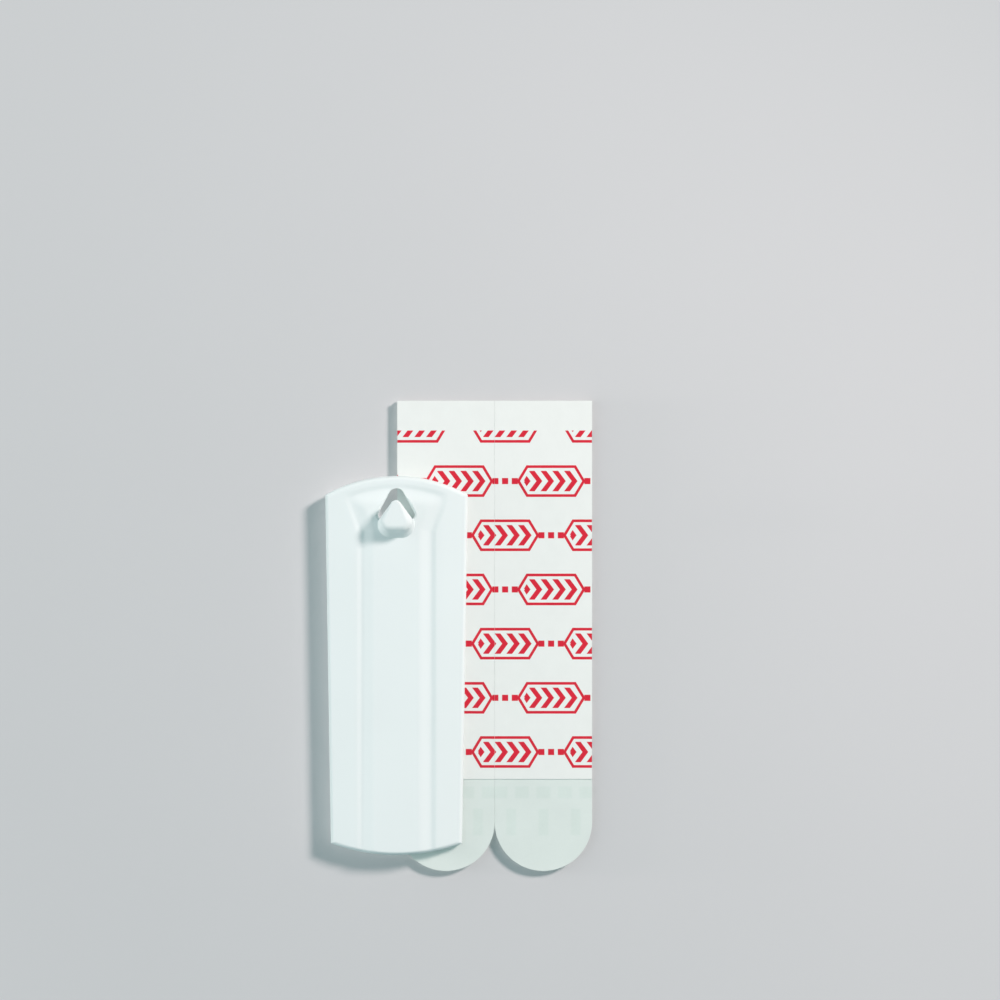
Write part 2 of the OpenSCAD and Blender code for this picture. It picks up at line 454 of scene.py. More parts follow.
def cells(tree, place, scale, feature):
    values = {"Vector": place, "Scale": scale}
    return add_node(tree, "ShaderNodeTexVoronoi", values, feature=feature).outputs["Distance"]


def new_group(name, inputs, outputs):
    """A shader node group with named values, and the sockets for them inside it."""
    tree = bpy.data.node_groups.new(name, "ShaderNodeTree")
    for label, default in inputs.items():
        socket = tree.interface.new_socket(name=label, in_out="INPUT", socket_type="NodeSocketFloat")
        socket.default_value = default
    for label in outputs:
        tree.interface.new_socket(name=label, in_out="OUTPUT", socket_type="NodeSocketFloat")
    return tree, tree.nodes.new("NodeGroupInput").outputs, tree.nodes.new("NodeGroupOutput").inputs


def object_place(tree):
    """Object coordinates, in millimetres."""
    place = add_node(tree, "ShaderNodeTexCoord").outputs["Object"]
    return calc_vector(tree, "MULTIPLY", place, (1000.0,) * 3).outputs[0]


def place_parts(tree):
    """Distance across the wall, out from it and up it, in millimetres."""
    parts = add_node(tree, "ShaderNodeSeparateXYZ", {0: object_place(tree)})
    return [parts.outputs[axis] for axis in "XYZ"]


def moulded_grain():
    """Fine grain and slow unevenness of a moulded or cast surface."""
    tree, given, result = new_group("moulded_grain", {"Grain": 6.0, "Drift": 0.12}, ["Height", "Tone"])
    place = object_place(tree)
    fine = noise(tree, place, given["Grain"], 3.0)
    slow = noise(tree, place, given["Drift"], 2.0)
    set_input(tree, result["Height"], calc(tree, "ADD", fine, calc(tree, "MULTIPLY", slow, 2.0)))
    set_input(tree, result["Tone"], calc(tree, "ADD", calc(tree, "MULTIPLY", fine, 0.4), slow))
    return tree


def paper_fibre():
    """Calendered paper: short fibres along the sheet and soft clouding."""
    tree, given, result = new_group("paper_fibre", {"Fibre": 3.0, "Cloud": 0.35}, ["Height", "Tone"])
    place = object_place(tree)
    drawn = calc_vector(tree, "MULTIPLY", place, (1.0, 1.0, 0.22)).outputs[0]
    fibre = noise(tree, drawn, given["Fibre"], 4.0)
    cloud = noise(tree, place, given["Cloud"], 2.0)
    set_input(tree, result["Height"], calc(tree, "ADD", fibre, cloud))
    set_input(tree, result["Tone"], calc(tree, "MULTIPLY_ADD", fibre, 0.35, cloud))
    return tree


def foam_cells():
    """Closed foam cells of two sizes, seen where the foam is cut, with painted shade darkening each pit.
    """
    tree, given, result = new_group("foam_cells", {"Cells": 5.0}, ["Height", "Tone"])
    place = object_place(tree)
    large = cells(tree, place, given["Cells"], "SMOOTH_F1")
    small = cells(tree, place, calc(tree, "MULTIPLY", given["Cells"], 2.3), "F1")
    # The pits' depth also sets the tone, so each pit is painted darker: painted shade in the pits
    pit_depth_and_shade = calc(tree, "MULTIPLY_ADD", small, 0.5, large)
    set_input(tree, result["Height"], pit_depth_and_shade)
    set_input(tree, result["Tone"], calc(tree, "MINIMUM", pit_depth_and_shade, 1.0))
    return tree


def soft_step(tree, value, edge, blur):
    """One below an edge and nothing above it, eased over a blur."""
    span = {"From Min": edge - blur, "From Max": edge + blur, "To Min": 1.0, "To Max": 0.0}
    values = {"Value": value, **span}
    step = add_node(tree, "ShaderNodeMapRange", values, interpolation_type="SMOOTHSTEP")
    return step.outputs["Result"]


def near(tree, value, centre, half, blur):
    """One where a value is within half a width of a centre."""
    return soft_step(tree, calc(tree, "ABSOLUTE", calc(tree, "SUBTRACT", value, centre)), half, blur)


def repeat(tree, value, step):
    """Distance from the nearest of a row of places a step apart."""
    turn = calc(tree, "FRACT", calc(tree, "ADD", calc(tree, "DIVIDE", value, step), 0.5))
    return calc(tree, "MULTIPLY", calc(tree, "SUBTRACT", turn, 0.5), step)


def liner_print():
    """Ink of the liners' print: rows of six-sided frames filled with chevrons, and square dots."""
    places = {"Across": 0.0, "Up": 0.0, "Top": 37.0, "Face": 0.0}
    tree, given, result = new_group("liner_print", {"Pitch": 18.0, "Row": 10.6, **places}, ["Ink"])
    half_w, half_h, corner_lean = 6.7, 3.1, 0.6
    frame_w, inner_gap, chevron_step, chevron_lean = 0.54, 1.1, 2.3, 0.75
    dot_half, dot_step, edge_blur, face_skin = 0.6, 1.9, 0.04, 0.012
    pitch, row_h = given["Pitch"], given["Row"]
    x, y, z = place_parts(tree)
    u = calc(tree, "SUBTRACT", x, given["Across"])
    row = calc(tree, "DIVIDE", calc(tree, "SUBTRACT", z, given["Up"]), row_h)
    odd = calc(tree, "FLOORED_MODULO", calc(tree, "FLOOR", row), 2.0)
    shifted = calc(tree, "MULTIPLY_ADD", odd, calc(tree, "MULTIPLY", pitch, 0.5), u)
    side = repeat(tree, shifted, pitch)
    in_row = calc(tree, "SUBTRACT", calc(tree, "FRACT", row), 0.5)
    up = calc(tree, "ABSOLUTE", calc(tree, "MULTIPLY", in_row, row_h))
    lean = calc(tree, "MULTIPLY_ADD", up, corner_lean, calc(tree, "ABSOLUTE", side))
    end_in = calc(tree, "DIVIDE", calc(tree, "SUBTRACT", half_w, lean), math.hypot(1.0, corner_lean))
    inside = calc(tree, "MINIMUM", end_in, calc(tree, "SUBTRACT", half_h, up))
    outline = near(tree, inside, frame_w / 2, frame_w / 2, edge_blur)
    bend = repeat(tree, calc(tree, "MULTIPLY_ADD", up, chevron_lean, side), chevron_step)
    chevrons = near(tree, bend, 0.0, chevron_step / 4, edge_blur)
    filled = calc(tree, "SUBTRACT", 1.0, soft_step(tree, inside, inner_gap, edge_blur))
    between = repeat(tree, calc(tree, "MULTIPLY_ADD", pitch, 0.5, shifted), pitch)
    few = near(tree, between, 0.0, dot_step * 1.5, edge_blur)
    dots = near(tree, repeat(tree, between, dot_step), 0.0, dot_half, edge_blur)
    dots = calc(tree, "MULTIPLY", dots, few)
    dots = calc(tree, "MULTIPLY", dots, soft_step(tree, up, dot_half, edge_blur))
    inked = either(tree, outline, calc(tree, "MULTIPLY", chevrons, filled), dots)
    printed = soft_step(tree, calc(tree, "SUBTRACT", z, given["Top"]), 0.0, edge_blur)
    on_face = near(tree, calc(tree, "SUBTRACT", y, given["Face"]), 0.0, face_skin, face_skin / 2)
    shown = calc(tree, "MULTIPLY", printed, on_face)
    set_input(tree, result["Ink"], calc(tree, "MULTIPLY", inked, shown))
    return tree


def tab_marks():
    """Faint marks in a pull tab: a row of dashes over a row of upright bars."""
    tree, given, result = new_group("tab_marks", {"Across": 0.0, "Top": -37.0}, ["Mark"])
    edge_blur = 0.3
    x, _, z = place_parts(tree)
    u = calc(tree, "SUBTRACT", x, given["Across"])
    drop = calc(tree, "SUBTRACT", given["Top"], z)

    def marks(step, half_w, down, half_h):
        across = near(tree, repeat(tree, u, step), 0.0, half_w, edge_blur)
        return calc(tree, "MULTIPLY", across, near(tree, drop, down, half_h, edge_blur))

    bars = marks(step=6.3, half_w=0.95, down=8.4, half_h=2.6)
    dashes = marks(step=4.2, half_w=1.35, down=2.6, half_h=1.15)
    set_input(tree, result["Mark"], either(tree, bars, dashes))
    return tree


def effect(tree, make, **values):
    """Places a shared effect in a material, with its own values."""
    made = bpy.data.node_groups.get(make.__name__) or make()
    return add_node(tree, "ShaderNodeGroup", values, node_tree=made).outputs


# Materials

def new_material(name, **principled):
    """A material with a Principled shader; the values go on its own sockets."""
    material = bpy.data.materials.new(name)
    material.use_nodes = True
    shader = material.node_tree.nodes["Principled BSDF"]
    for label, value in principled.items():
        shader.inputs[label.replace("_", " ")].default_value = value
    return material, material.node_tree, shader


def shade(rgb, factor=1.0):
    return (rgb[0] * factor, rgb[1] * factor, rgb[2] * factor, 1.0)


def toned(tree, texture, rgb, dark, light):
    """A colour that runs between two shades with a texture's tone."""
    return mix_colour(tree, texture["Tone"], shade(rgb, dark), shade(rgb, light))


def surface(tree, shader, tone, gloss, roughness, height, bump):
    """Links a material's colour, its roughness between two values, and its bump by strength and depth."""
    span = {"Value": gloss, "To Min": roughness[0], "To Max": roughness[1]}
    raised = {"Strength": bump[0], "Distance": bump[1], "Height": height}
    rough = add_node(tree, "ShaderNodeMapRange", span).outputs["Result"]
    normal = add_node(tree, "ShaderNodeBump", raised).outputs["Normal"]
    for label, socket in (("Base Color", tone), ("Roughness", rough), ("Normal", normal)):
        tree.links.new(socket, shader.inputs[label])


def plain_material(name, rgb, ior, texture, values, shades, roughness, bump):
    """A material of one colour, toned, roughened and raised by a shared texture."""
    material, tree, shader = new_material(name, IOR=ior)
    given = effect(tree, texture, **values)
    tone = toned(tree, given, rgb, *shades)
    surface(tree, shader, tone, given["Tone"], roughness, given["Height"], bump)
    return material


def plastic_material():
    return plain_material(
        "hanger_plastic", finishes().plastic, 1.5, moulded_grain, {"Grain": 5.0, "Drift": 0.09},
        shades=(0.985, 1.015), roughness=(0.34, 0.44), bump=(0.05, 0.00003),
    )


def foam_material():
    return plain_material(
        "strip_foam", finishes().foam, 1.45, foam_cells, {"Cells": 5.5},
        # The darker shade is reached at the bottom of the cells' pits: painted shade
        shades=(0.86, 1.04), roughness=(0.85, 0.65), bump=(0.6, 0.00012),
    )


def adhesive_material():
    return plain_material(
        "adhesive", finishes().adhesive, 1.47, moulded_grain, {"Grain": 2.2, "Drift": 0.3},
        shades=(0.95, 1.05), roughness=(0.22, 0.42), bump=(0.25, 0.00006),
    )


def tab_core_material():
    return plain_material(
        "tab_foam", finishes().tab, 1.45, foam_cells, {"Cells": 5.5},
        # The darker shade is reached at the bottom of the cells' pits: painted shade
        shades=(0.88, 1.05), roughness=(0.8, 0.6), bump=(0.5, 0.00012),
    )


def liner_material(name, ink_rgb, top, face):
    """Glazed paper with the print up to a height, on the face at a distance from the wall."""
    s = strip_sizes()
    material, tree, shader = new_material(name, IOR=1.45)
    fibre = effect(tree, paper_fibre)
    ink = effect(
        tree, liner_print, Pitch=s.motif_pitch / MM, Row=s.motif_row / MM,
        Across=PRINT_ACROSS, Up=PRINT_UP, Top=top, Face=face,
    )["Ink"]
    paper = toned(tree, fibre, finishes().paper, 0.97, 1.02)
    inked = toned(tree, fibre, ink_rgb, 0.9, 1.12)
    tone = mix_colour(tree, ink, paper, inked)
    surface(tree, shader, tone, ink, (0.42, 0.34), fibre["Height"], (0.08, 0.00003))
    return material


def tab_film_material(name, across, top):
    """Milky film with faint marks, placed by the tab's middle and its top."""
    material, tree, shader = new_material(name, IOR=1.5, Coat_Weight=0.3, Coat_Roughness=0.15)
    grain = effect(tree, moulded_grain, Grain=1.6, Drift=0.16)
    mark = effect(tree, tab_marks, Across=across, Top=top)["Mark"]
    film = toned(tree, grain, finishes().tab, 0.96, 1.04)
    faint = toned(tree, grain, finishes().tab_mark, 0.96, 1.1)
    tone = mix_colour(tree, mark, film, faint)
    surface(tree, shader, tone, grain["Tone"], (0.26, 0.38), grain["Height"], (0.1, 0.00004))
    return material


def dress(obj, material, slot, *nodes):
    """Gives a finished piece its material, and lets it stand for its CAD nodes."""
    obj.data.materials.clear()
    obj.data.materials.append(material)
    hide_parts(*nodes)


# Pieces

class PICTUREHOOK_OT_hanger(bpy.types.Operator):
    """Mould the hanger: plate, centre panel, arched hole and hook"""

    bl_idname = "picture_hook.hanger"
    bl_label = "Hanger"

    def execute(self, context):
        s = sizes()
        self.centre_x = (HANGER_LOW.x + HANGER_HIGH.x) / 2
        self.centre_z = (HANGER_LOW.z + HANGER_HIGH.z) / 2
        self.back_y = HANGER_HIGH.y - s.seat_gap
        self.half = s.plate_length / 2
        self.top_radius = s.top_width ** 2 / (8 * s.top_rise) + s.top_rise / 2
        self.bottom_radius = s.bottom_width ** 2 / (8 * s.bottom_rise) + s.bottom_rise / 2
        self.top_up, self.bottom_up = self.half - self.top_radius, self.bottom_radius - self.half
        self.foot = Vector((s.bottom_width / 2, s.bottom_rise - self.half))
        self.run = Vector((s.top_width / 2, self.half - s.top_rise)) - self.foot
        self.run.normalize()
        self.inward = Vector((-self.run.y, self.run.x))
        hanger = self.plate(s)
        combine(hanger, self.arch(s), "DIFFERENCE")
        combine(hanger, self.hook(s), "UNION")
        for step in (-1, 0, 1):
            combine(hanger, self.mark(s, step * s.mark_pitch), "DIFFERENCE")
        close_mesh(hanger)
        smooth(hanger)
        dress(hanger, plastic_material(), "hanger_plastic", "hanger")
        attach(hanger, "hanger")
        return {"FINISHED"}

    def at(self, across, up, out):
        """A place on the hanger: across and up from its centre, and out from its back."""
        return Vector((self.centre_x + across, self.back_y - out, self.centre_z + up))

    def plate_ring(self, inset, out):
        """The plate's outline, drawn in by a distance: leaning sides between curved ends."""
        start = self.foot + self.inward * inset
        top_radius, bottom_radius = self.top_radius - inset, self.bottom_radius - inset
        top = meet_round(start, self.run, self.top_up, top_radius)
        bottom = meet_round(start, -self.run, self.bottom_up, bottom_radius)
        return draw_ring("plate_ring", self.at(-bottom.x, bottom.y, out), [
            self.at(-top.x, top.y, out),
            (self.at(0, self.top_up, out), 2 * math.asin(top.x / top_radius), TOP_STEPS),
            self.at(bottom.x, bottom.y, out),
            (self.at(0, self.bottom_up, out), 2 * math.asin(bottom.x / bottom_radius), BOTTOM_STEPS),
        ])

    def plate(self, s):
        """The plate: rings from its back up over the rounded rim, and a front raised into its relief.

        The front is cut finely across, and up only at its head and its foot.
        """
        rings = []
        for turn in quarter_turn(BACK_STEPS):
            inset, out = s.back_round * (1 - math.sin(turn)), s.back_round * (1 - math.cos(turn))
            rings.append(self.plate_ring(inset, out))
        for turn in quarter_turn(RIM_STEPS):
            inset, drop = s.edge_round * (1 - math.cos(turn)), s.edge_round * (1 - math.sin(turn))
            rings.append(self.plate_ring(inset, s.edge_thickness - drop))
        obj = bridge_rings(rings)
        obj.name = obj.data.name = "hanger_moulding"
        fine, coarse = 0.24 * MM, 2.4 * MM
        head, foot = self.half - 1.5 * s.panel_flare_drop, 2 * s.bottom_rise - self.half
        self.cut_front(obj, s, ACROSS, spread(-s.top_width / 2, s.top_width / 2, fine))
        self.cut_front(obj, s, UP, spread(-self.half, foot, fine))
        self.cut_front(obj, s, UP, spread(foot, head, coarse))
        self.cut_front(obj, s, UP, spread(head, self.half, fine))
        self.raise_relief(obj, s)
        return obj

    def cut_front(self, obj, s, axis, places):
        """Cuts the plate's flat front into strips at distances from its centre."""
        front = self.at(0, 0, s.edge_thickness).y
        open_mesh(obj)
        for place in places:
            select_mesh("DESELECT")
            pick(obj, "faces", lambda face: lies_at(face, front))
            bpy.ops.mesh.bisect(plane_co=self.at(0, 0, 0) + axis * place, plane_no=axis, threshold=SNAP)
        bpy.ops.object.mode_set(mode="OBJECT")

    def raise_relief(self, obj, s):
        """Raises the front by a weight at each point, and the rounded rim with it."""
        relief = obj.vertex_groups.new(name="relief")
        most = s.panel_thickness - s.edge_thickness
        rim_foot = self.at(0, 0, s.edge_thickness - s.edge_round).y
        for vertex in obj.data.vertices:
            share = (rim_foot - vertex.co.y) / s.edge_round
            if share > 0:
                place = Vector((abs(vertex.co.x - self.centre_x), vertex.co.z - self.centre_z))
                relief.add([vertex.index], clamp(share * self.relief(s, place) / most), "REPLACE")
        activate(obj)
        lift = obj.modifiers.new("relief", "DISPLACE")
        lift.direction = "Y"
        lift.vertex_group = relief.name
        lift.mid_level = 0.0
        lift.strength = -most
        bpy.ops.object.modifier_apply(modifier=lift.name)
        obj.vertex_groups.clear()

    def relief(self, s, place):
        """Height of the front over the rim: a sloping border, a soft groove and the raised panel."""
        crest_blend = 0.2
        side_in = (place - self.foot).dot(self.inward)
        climb = (side_in - s.edge_round) / (s.side_slope - s.edge_round)
        border = max(0.0, soft_min(1.0, climb, crest_blend))
        head_out = (s.panel_head_width - s.panel_width) / 2
        head_run = Vector((head_out, s.panel_flare_drop - s.panel_corner_drop))
        head_run.normalize()
        flare = place - Vector((s.panel_width / 2, self.half - s.panel_flare_drop))
        inside = max(-flare.x, flare.y * head_run.x - flare.x * head_run.y)
        top_in = self.top_radius - Vector((place.x, max(0.0, place.y - self.top_up))).length
        inside = soft_min(inside, top_in - s.panel_top_margin, s.groove_mouth)
        rise = ease(inside / s.panel_shoulder)
        dip = ease((inside + s.groove_mouth - s.groove_foot) / s.groove_mouth) - rise
        slope = (s.ridge_thickness - s.edge_thickness) * border
        return slope + (s.panel_thickness - s.ridge_thickness) * rise - s.groove_depth * dip * border

    def shield_ring(self, name, top_up, top_round, corner, corner_round, out):
        """A ring round a circle on the middle line and a lower one on each side, with straight flanks."""
        top = Vector((0.0, top_up))
        run = corner - top
        taper = (top_round - corner_round) / run.length
        run.normalize()
        facing = run * taper + Vector((-run.y, run.x)) * math.sqrt(1 - taper * taper)
        lean = math.atan2(facing.x, facing.y)
        high, low = top + facing * top_round, corner + facing * corner_round
        return draw_ring(name, self.at(-low.x, low.y, out), [
            self.at(-high.x, high.y, out),
            (self.at(0, top_up, out), 2 * lean, TIP_STEPS),
            self.at(low.x, low.y, out),
            (self.at(corner.x, corner.y, out), math.pi - lean, CORNER_STEPS),
            self.at(-corner.x, corner.y - corner_round, out),
            (self.at(-corner.x, corner.y, out), math.pi - lean, CORNER_STEPS),
        ])

    def arch_ring(self, s, grow, out):
        """The hole's outline, grown by a distance: a round top, leaning legs and a rounded foot."""
        hole_top = self.half - s.hole_margin
        corner = Vector((s.hole_width / 2 - s.foot_round, hole_top - s.hole_height + s.foot_round))
        return self.shield_ring(
            "arch_ring", hole_top - s.hole_round, s.hole_round + grow, corner, s.foot_round + grow, out
        )

    def arch(self, s):
        """The cut for the arched hole, with a chamfered mouth."""
        mouth = s.panel_thickness
        edge, past = s.back_round, s.hole_chamfer
        levels = [(2 * edge, -edge), (0, edge), (0, mouth - past), (2 * past, mouth + past)]
        return bridge_rings([self.arch_ring(s, grow, out) for grow, out in levels])

    def hook_ring(self, s, out):
        """The hook's outline at a height over the panel: a wide root that flows into a rounded face."""
        tip_up = self.half - s.hole_margin - s.tip_drop
        face_out = s.hook_height - s.hook_edge
        flow = 1 - (1 - clamp(out / face_out)) ** 2
        over = clamp((out - face_out) / s.hook_edge)
        inset = s.hook_edge * (1 - math.sqrt(1 - over * over))
        root = Vector((s.root_width / 2 - s.root_round, s.root_round - s.root_length))
        face = Vector((s.face_width / 2 - s.face_round, s.face_round - s.face_length))
        corner = Vector((0, tip_up)) + root.lerp(face, flow)
        corner_round = s.root_round + (s.face_round - s.root_round) * flow - inset
        tip = s.tip_round * dome((out - s.hook_gap - s.tip_round) / s.tip_round)
        return self.shield_ring(
            "hook_ring", tip_up - s.tip_round, tip, corner, corner_round, s.panel_thickness + out
        )

    def hook(self, s):
        """The hook, rooted inside the plate and open behind its tip."""
        face_out = s.hook_height - s.hook_edge
        outs = [-s.hook_edge] + [face_out * i / FLOW_STEPS for i in range(FLOW_STEPS)]
        outs += [face_out + s.hook_edge * math.sin(turn) for turn in quarter_turn(FACE_STEPS)]
        obj = bridge_rings([self.hook_ring(s, out) for out in outs])
        foot_up = self.half - s.hole_margin - s.hole_height
        gap = add_block(
            "hook_gap",
            self.at(-s.root_width, foot_up, s.panel_thickness + s.hook_gap),
            self.at(s.root_width, foot_up + s.root_length, 0),
        )
        combine(obj, gap, "DIFFERENCE")
        return obj

    def mark(self, s, up):
        """The cut for one ejector mark on the back."""
        deselect_all()
        bpy.ops.mesh.primitive_cylinder_add(
            vertices=MARK_STEPS, radius=s.mark_diameter / 2, depth=2 * s.mark_depth,
            location=self.at(0, up, 0), rotation=(math.pi / 2, 0, 0),
        )
        return new_piece("ejector_mark")


def sheet_box(part, lean):
    """A left layer's box, with its edge let into the slit."""
    low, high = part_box(f"left_{part}")
    high.x += lean
    return low, high


def both_strips(left, name):
    """A layer of the left strip and its copy over the slit, each with its side."""
    slit = (LINER_HIGH.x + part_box("right_front_liner")[0].x) / 2
    activate(left)
    bpy.ops.object.duplicate()
    right = bpy.context.active_object
    open_mesh(right)
    select_mesh()
    bpy.ops.transform.resize(value=(-1, 1, 1), center_override=(slit, 0, 0))
    close_mesh(right)
    pair = list(zip(SIDES, (left, right)))
    for side, obj in pair:
        obj.name = obj.data.name = f"{side}_{name}"
        smooth(obj)
    return pair


def layer_sheet(part, rounding, rows, segments=3, lean=0.0):
    """A layer's block with rounded rims, cut into rows where it stretches."""
    low, high = sheet_box(part, lean)
    obj = add_block(part, low, high)
    open_mesh(obj, "EDGE")
    select_mesh()
    bpy.ops.mesh.bevel(offset=rounding, segments=segments, affect="EDGES", clamp_overlap=True)
    if rows:
        reach = (high.z - low.z) / 2
        select_mesh("DESELECT")
        pick(obj, "edges", lambda edge: runs_up(edge) and edge.calc_length() > reach)
        bpy.ops.mesh.subdivide(number_cuts=rows - 1)
    close_mesh(obj)
    return obj


def stretch(obj):
    """Puts a layer's place into its mesh."""
    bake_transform(obj)


class PICTUREHOOK_OT_foam_cores(bpy.types.Operator):
    """Cut the two stretchable foam cores"""

    bl_idname = "picture_hook.foam_cores"
    bl_label = "Foam cores"

    def execute(self, context):
        s = strip_sizes()
        material = foam_material()
        for side, core in both_strips(layer_sheet("foam_core", s.foam_round, s.stretch_rows), "foam"):
            dress(core, material, "strip_foam", f"{side}_foam_core")
            stretch(core)
        return {"FINISHED"}


class PICTUREHOOK_OT_adhesive_layers(bpy.types.Operator):
    """Coat the foam with its four adhesive layers"""

    bl_idname = "picture_hook.adhesive_layers"
    bl_label = "Adhesive layers"

    def execute(self, context):
        s = strip_sizes()
        material = adhesive_material()
        for face in ("front", "back"):
            layer = layer_sheet(f"{face}_adhesive", s.sheet_round, s.stretch_rows, 2)
            for side, sheet in both_strips(layer, f"{face}_tack"):
                dress(sheet, material, "adhesive", f"{side}_{face}_adhesive")
                stretch(sheet)
        return {"FINISHED"}


class PICTUREHOOK_OT_tear_bridges(bpy.types.Operator):
    """Leave the short uncut bridges between the two strips"""

    bl_idname = "picture_hook.tear_bridges"
    bl_label = "Tear bridges"

    count: IntProperty(description="Number of bridges along the slit", default=5, min=1, max=12)

    def execute(self, context):
        low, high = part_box("tear_bridges")
        pitch = (LINER_HIGH.z - LINER_LOW.z) / self.count
        reach = high.z - low.z - pitch * (self.count - 1)
        rounding = (high.x - low.x) / 5
        bridge = add_block("tear_bridge_foam", low, (high.x, high.y, low.z + reach))
        open_mesh(bridge, "EDGE")
        select_mesh()
        bpy.ops.mesh.bevel(offset=rounding, segments=2, affect="EDGES")
        select_mesh()
        for _ in range(self.count - 1):
            bpy.ops.mesh.duplicate_move(TRANSFORM_OT_translate={"value": UP * pitch})
        close_mesh(bridge)
        smooth(bridge)
        dress(bridge, bpy.data.materials["strip_foam"], "strip_foam", "tear_bridges")
        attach(bridge, "strip_left")
        return {"FINISHED"}


class PICTUREHOOK_OT_pull_tabs(bpy.types.Operator):
    """Cut the two round-ended pull tabs, each with a foam core between two films"""

    bl_idname = "picture_hook.pull_tabs"
    bl_label = "Pull tabs"

    def execute(self, context):
        s = strip_sizes()
        core, films = tab_core_material(), {}
        for side in SIDES:
            low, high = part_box(f"{side}_tab_front_film")
            films[side] = tab_film_material(f"{side}_tab_film", (low.x + high.x) / 2 / MM, high.z / MM)
        self.layer("core", s.foam_round, dict.fromkeys(SIDES, core), "tab_foam")
        self.layer("front_film", s.sheet_round, films, "tab_film")
        self.layer("back_film", s.sheet_round, films, "tab_film")
        return {"FINISHED"}

    def layer(self, part, rounding, materials, slot):
        """One layer of the tabs: a sheet with a round end and rounded rims."""
        low, high = sheet_box(f"tab_{part}", strip_sizes().slit_lean)
        radius = (high.x - low.x) / 2
        centre = Vector(((low.x + high.x) / 2, high.y, low.z + radius))
        obj = draw_ring(f"tab_{part}", high, [
            Vector((high.x, high.y, centre.z)),
            (centre, math.pi, TAB_STEPS),
            Vector((low.x, high.y, high.z)),
        ])
        thicken(obj, high.y - low.y)
        bpy.ops.mesh.select_mode(type="EDGE")
        pick(obj, "edges", lambda edge: lies_at(edge, edge.verts[0].co.y))
        bpy.ops.mesh.bevel(offset=rounding, segments=3, affect="EDGES")
        close_mesh(obj)
        for side, sheet in both_strips(obj, f"tab_{part}_sheet"):
            dress(sheet, materials[side], slot, f"{side}_tab_{part}")
            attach(sheet, f"tab_{side}")


class PICTUREHOOK_OT_release_liners(bpy.types.Operator):
    """Lay the four printed release liners on the strips"""

    bl_idname = "picture_hook.release_liners"
    bl_label = "Release liners"

    def execute(self, context):
        s = strip_sizes()
        inks = {"front": finishes().front_ink, "back": finishes().back_ink}
        outer = {"front": LINER_LOW.y, "back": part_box("left_back_liner")[1].y}
        top = (LINER_HIGH.z - s.blank_band) / MM
        for face, rgb in inks.items():
            material = liner_material(f"{face}_liner", rgb, top, outer[face] / MM)
            layer = layer_sheet(f"{face}_liner", s.sheet_round, 0, 2, s.slit_lean)
            for side, liner in both_strips(layer, f"{face}_liner_sheet"):
                dress(liner, material, f"{face}_liner", f"{side}_{face}_liner")
                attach(liner, f"{face}_liner_{side}")
        return {"FINISHED"}


# Stage

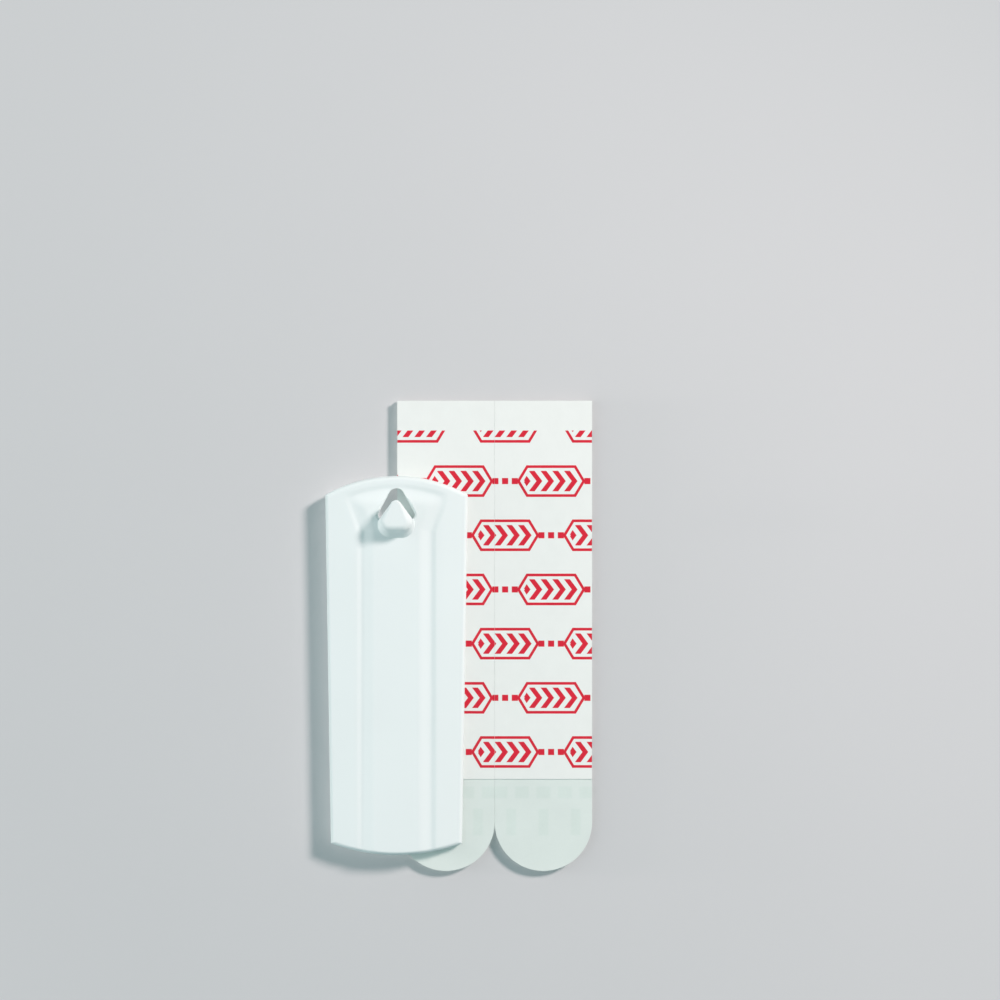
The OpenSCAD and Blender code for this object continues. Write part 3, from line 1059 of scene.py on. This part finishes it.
class PICTUREHOOK_OT_stage(bpy.types.Operator):
    """Set the pale wall and floor, the soft light and the camera"""

    bl_idname = "picture_hook.stage"
    bl_label = "Stage"

    def execute(self, context):
        scene = context.scene
        scene.view_settings.view_transform = "Standard"
        self.backdrop()
        self.world(scene)
        aim = Vector((0.0106, 0.0, 0.0176))
        for name, (offset, size, power, tint) in LAMPS.items():
            self.lamp(name, aim, Vector(offset), size, power, tint)
        self.camera(scene, aim)
        return {"FINISHED"}

    def backdrop(self):
        """A wall behind the part and a floor far below it, joined by a cove."""
        wide, drop, rise, gap, cove, close = 12.0, -0.7, 6.0, 0.0004, 0.15, 1e-4
        deselect_all()
        bpy.ops.mesh.primitive_plane_add(
            size=1.0, location=(0, gap, (rise + drop) / 2), rotation=(math.pi / 2, 0, 0)
        )
        bpy.context.active_object.scale = (2 * wide, rise - drop, 1)
        obj = new_piece("backdrop")
        open_mesh(obj, "EDGE")
        pick(obj, "edges", lambda edge: middle(edge).z < drop + close)
        extrude(FRONT * wide)
        select_mesh("DESELECT")
        corner = Vector((0, gap, drop))
        pick(obj, "edges", lambda edge: (middle(edge) - corner).length < close)
        bpy.ops.mesh.bevel(offset=cove, segments=16, affect="EDGES")
        bpy.ops.object.mode_set(mode="OBJECT")
        bpy.ops.object.shade_smooth_by_angle(angle=SMOOTH_ANGLE)
        obj.data.materials.append(self.wall_material())
        obj.data.materials.append(self.floor_material())
        for face in obj.data.polygons:
            face.material_index = 0 if abs(face.normal.y) > 0.999 else 1

    def wall_material(self):
        """Pale matt paint that keeps the part's shadow and runs out into the background."""
        centre, reach, blur = (2.5, 0.0, -9.0), 140.0, 70.0
        material, tree, shader = new_material("wall_paint", Roughness=0.9, Specular_IOR_Level=0.0)
        grain = effect(tree, moulded_grain, Grain=0.4, Drift=0.02)
        tree.links.new(toned(tree, grain, finishes().backdrop, 0.96, 0.98), shader.inputs["Base Color"])
        away = calc_vector(tree, "DISTANCE", object_place(tree), centre).outputs["Value"]
        kept = soft_step(tree, away, reach, blur)
        self.show_to_camera(tree, mix_shader(tree, kept, self.pale_light(tree), shader.outputs[0]))
        return material

    def floor_material(self):
        """A pale floor far below the part, as bright as the background."""
        material, tree, _ = new_material("floor_paint")
        self.show_to_camera(tree, self.pale_light(tree))
        return material

    def pale_light(self, tree, kind="ShaderNodeEmission"):
        """The background's own brightness."""
        return add_node(tree, kind, {"Color": shade(finishes().backdrop), "Strength": 1.0}).outputs[0]

    def looked_at(self, tree):
        """One for what is seen straight, in a reflection or through a clear piece."""
        path = add_node(tree, "ShaderNodeLightPath").outputs
        return either(tree, path["Is Camera Ray"], path["Is Glossy Ray"], path["Is Transmission Ray"])

    def show_to_camera(self, tree, paint):
        """Shows a paint only from its front and when looked at, so that it never shades the part."""
        behind = add_node(tree, "ShaderNodeNewGeometry").outputs["Backfacing"]
        shown = calc(tree, "MULTIPLY", self.looked_at(tree), calc(tree, "SUBTRACT", 1.0, behind))
        clear = add_node(tree, "ShaderNodeBsdfTransparent").outputs[0]
        mix = mix_shader(tree, shown, clear, paint)
        tree.links.new(mix, tree.nodes["Material Output"].inputs["Surface"])

    def world(self, scene):
        """Even soft light from all round, with a pale background."""
        world = bpy.data.worlds.new("studio")
        world.use_nodes = True
        scene.world = world
        tree = world.node_tree
        light = tree.nodes["Background"]
        light.inputs["Color"].default_value = AMBIENT
        light.inputs["Strength"].default_value = AMBIENT_STRENGTH
        pale = self.pale_light(tree, "ShaderNodeBackground")
        mix = mix_shader(tree, self.looked_at(tree), light.outputs[0], pale)
        tree.links.new(mix, tree.nodes["World Output"].inputs["Surface"])

    def lamp(self, name, aim, offset, size, power, tint):
        """A round lamp turned to the aim, that is itself never seen."""
        deselect_all()
        bpy.ops.object.light_add(type="AREA", location=aim + offset)
        lamp = bpy.context.active_object
        lamp.name = f"{name}_lamp"
        lamp.rotation_euler = (-offset).to_track_quat("-Z", "Y").to_euler()
        lamp.data.shape = "DISK"
        lamp.data.size = size
        lamp.data.energy = power
        lamp.data.color = tint
        lamp.visible_camera = lamp.visible_glossy = False

    def camera(self, scene, aim):
        """Square on to the wall, as the photograph is taken."""
        distance, shown_width = 0.75, 0.196
        deselect_all()
        bpy.ops.object.camera_add(location=aim + FRONT * distance, rotation=(math.pi / 2, 0, 0))
        camera = bpy.context.active_object
        camera.name = "front_camera"
        camera.data.sensor_width = 36.0
        camera.data.lens = camera.data.sensor_width * distance / shown_width
        camera.data.clip_start = 0.01
        camera.data.clip_end = 50.0
        scene.camera = camera


class PICTUREHOOK_PT_panel(bpy.types.Panel):
    """Lists the sizes, the colours and the pieces"""

    bl_idname = "PICTUREHOOK_PT_panel"
    bl_label = "Picture Hook"
    bl_space_type = "VIEW_3D"
    bl_region_type = "UI"
    bl_category = "Picture Hook"

    def draw(self, context):
        for group in (sizes(), strip_sizes(), finishes()):
            box = self.layout.box()
            for name in group.bl_rna.properties.keys():
                if name not in ("rna_type", "name"):
                    box.prop(group, name, text=name.replace("_", " ").capitalize())
        for operator in OPERATORS:
            self.layout.operator(operator.bl_idname)


PROPERTY_GROUPS = (HangerSizes, StripSizes, Finishes)
OPERATORS = (
    PICTUREHOOK_OT_stage,
    PICTUREHOOK_OT_hanger,
    PICTUREHOOK_OT_foam_cores,
    PICTUREHOOK_OT_adhesive_layers,
    PICTUREHOOK_OT_tear_bridges,
    PICTUREHOOK_OT_pull_tabs,
    PICTUREHOOK_OT_release_liners,
)
CLASSES = PROPERTY_GROUPS + OPERATORS + (PICTUREHOOK_PT_panel,)


def register():
    for item in CLASSES:
        bpy.utils.register_class(item)
    bpy.types.Scene.hook_hanger_sizes = PointerProperty(type=HangerSizes)
    bpy.types.Scene.hook_strip_sizes = PointerProperty(type=StripSizes)
    bpy.types.Scene.hook_finishes = PointerProperty(type=Finishes)


def unregister():
    del bpy.types.Scene.hook_finishes
    del bpy.types.Scene.hook_strip_sizes
    del bpy.types.Scene.hook_hanger_sizes
    for item in reversed(CLASSES):
        bpy.utils.unregister_class(item)


def main():
    register()
    bpy.ops.picture_hook.stage()
    bpy.ops.picture_hook.hanger()
    bpy.ops.picture_hook.foam_cores()
    bpy.ops.picture_hook.adhesive_layers()
    bpy.ops.picture_hook.tear_bridges()
    bpy.ops.picture_hook.pull_tabs()
    bpy.ops.picture_hook.release_liners()
    deselect_all()


if __name__ == "__main__":
    main()
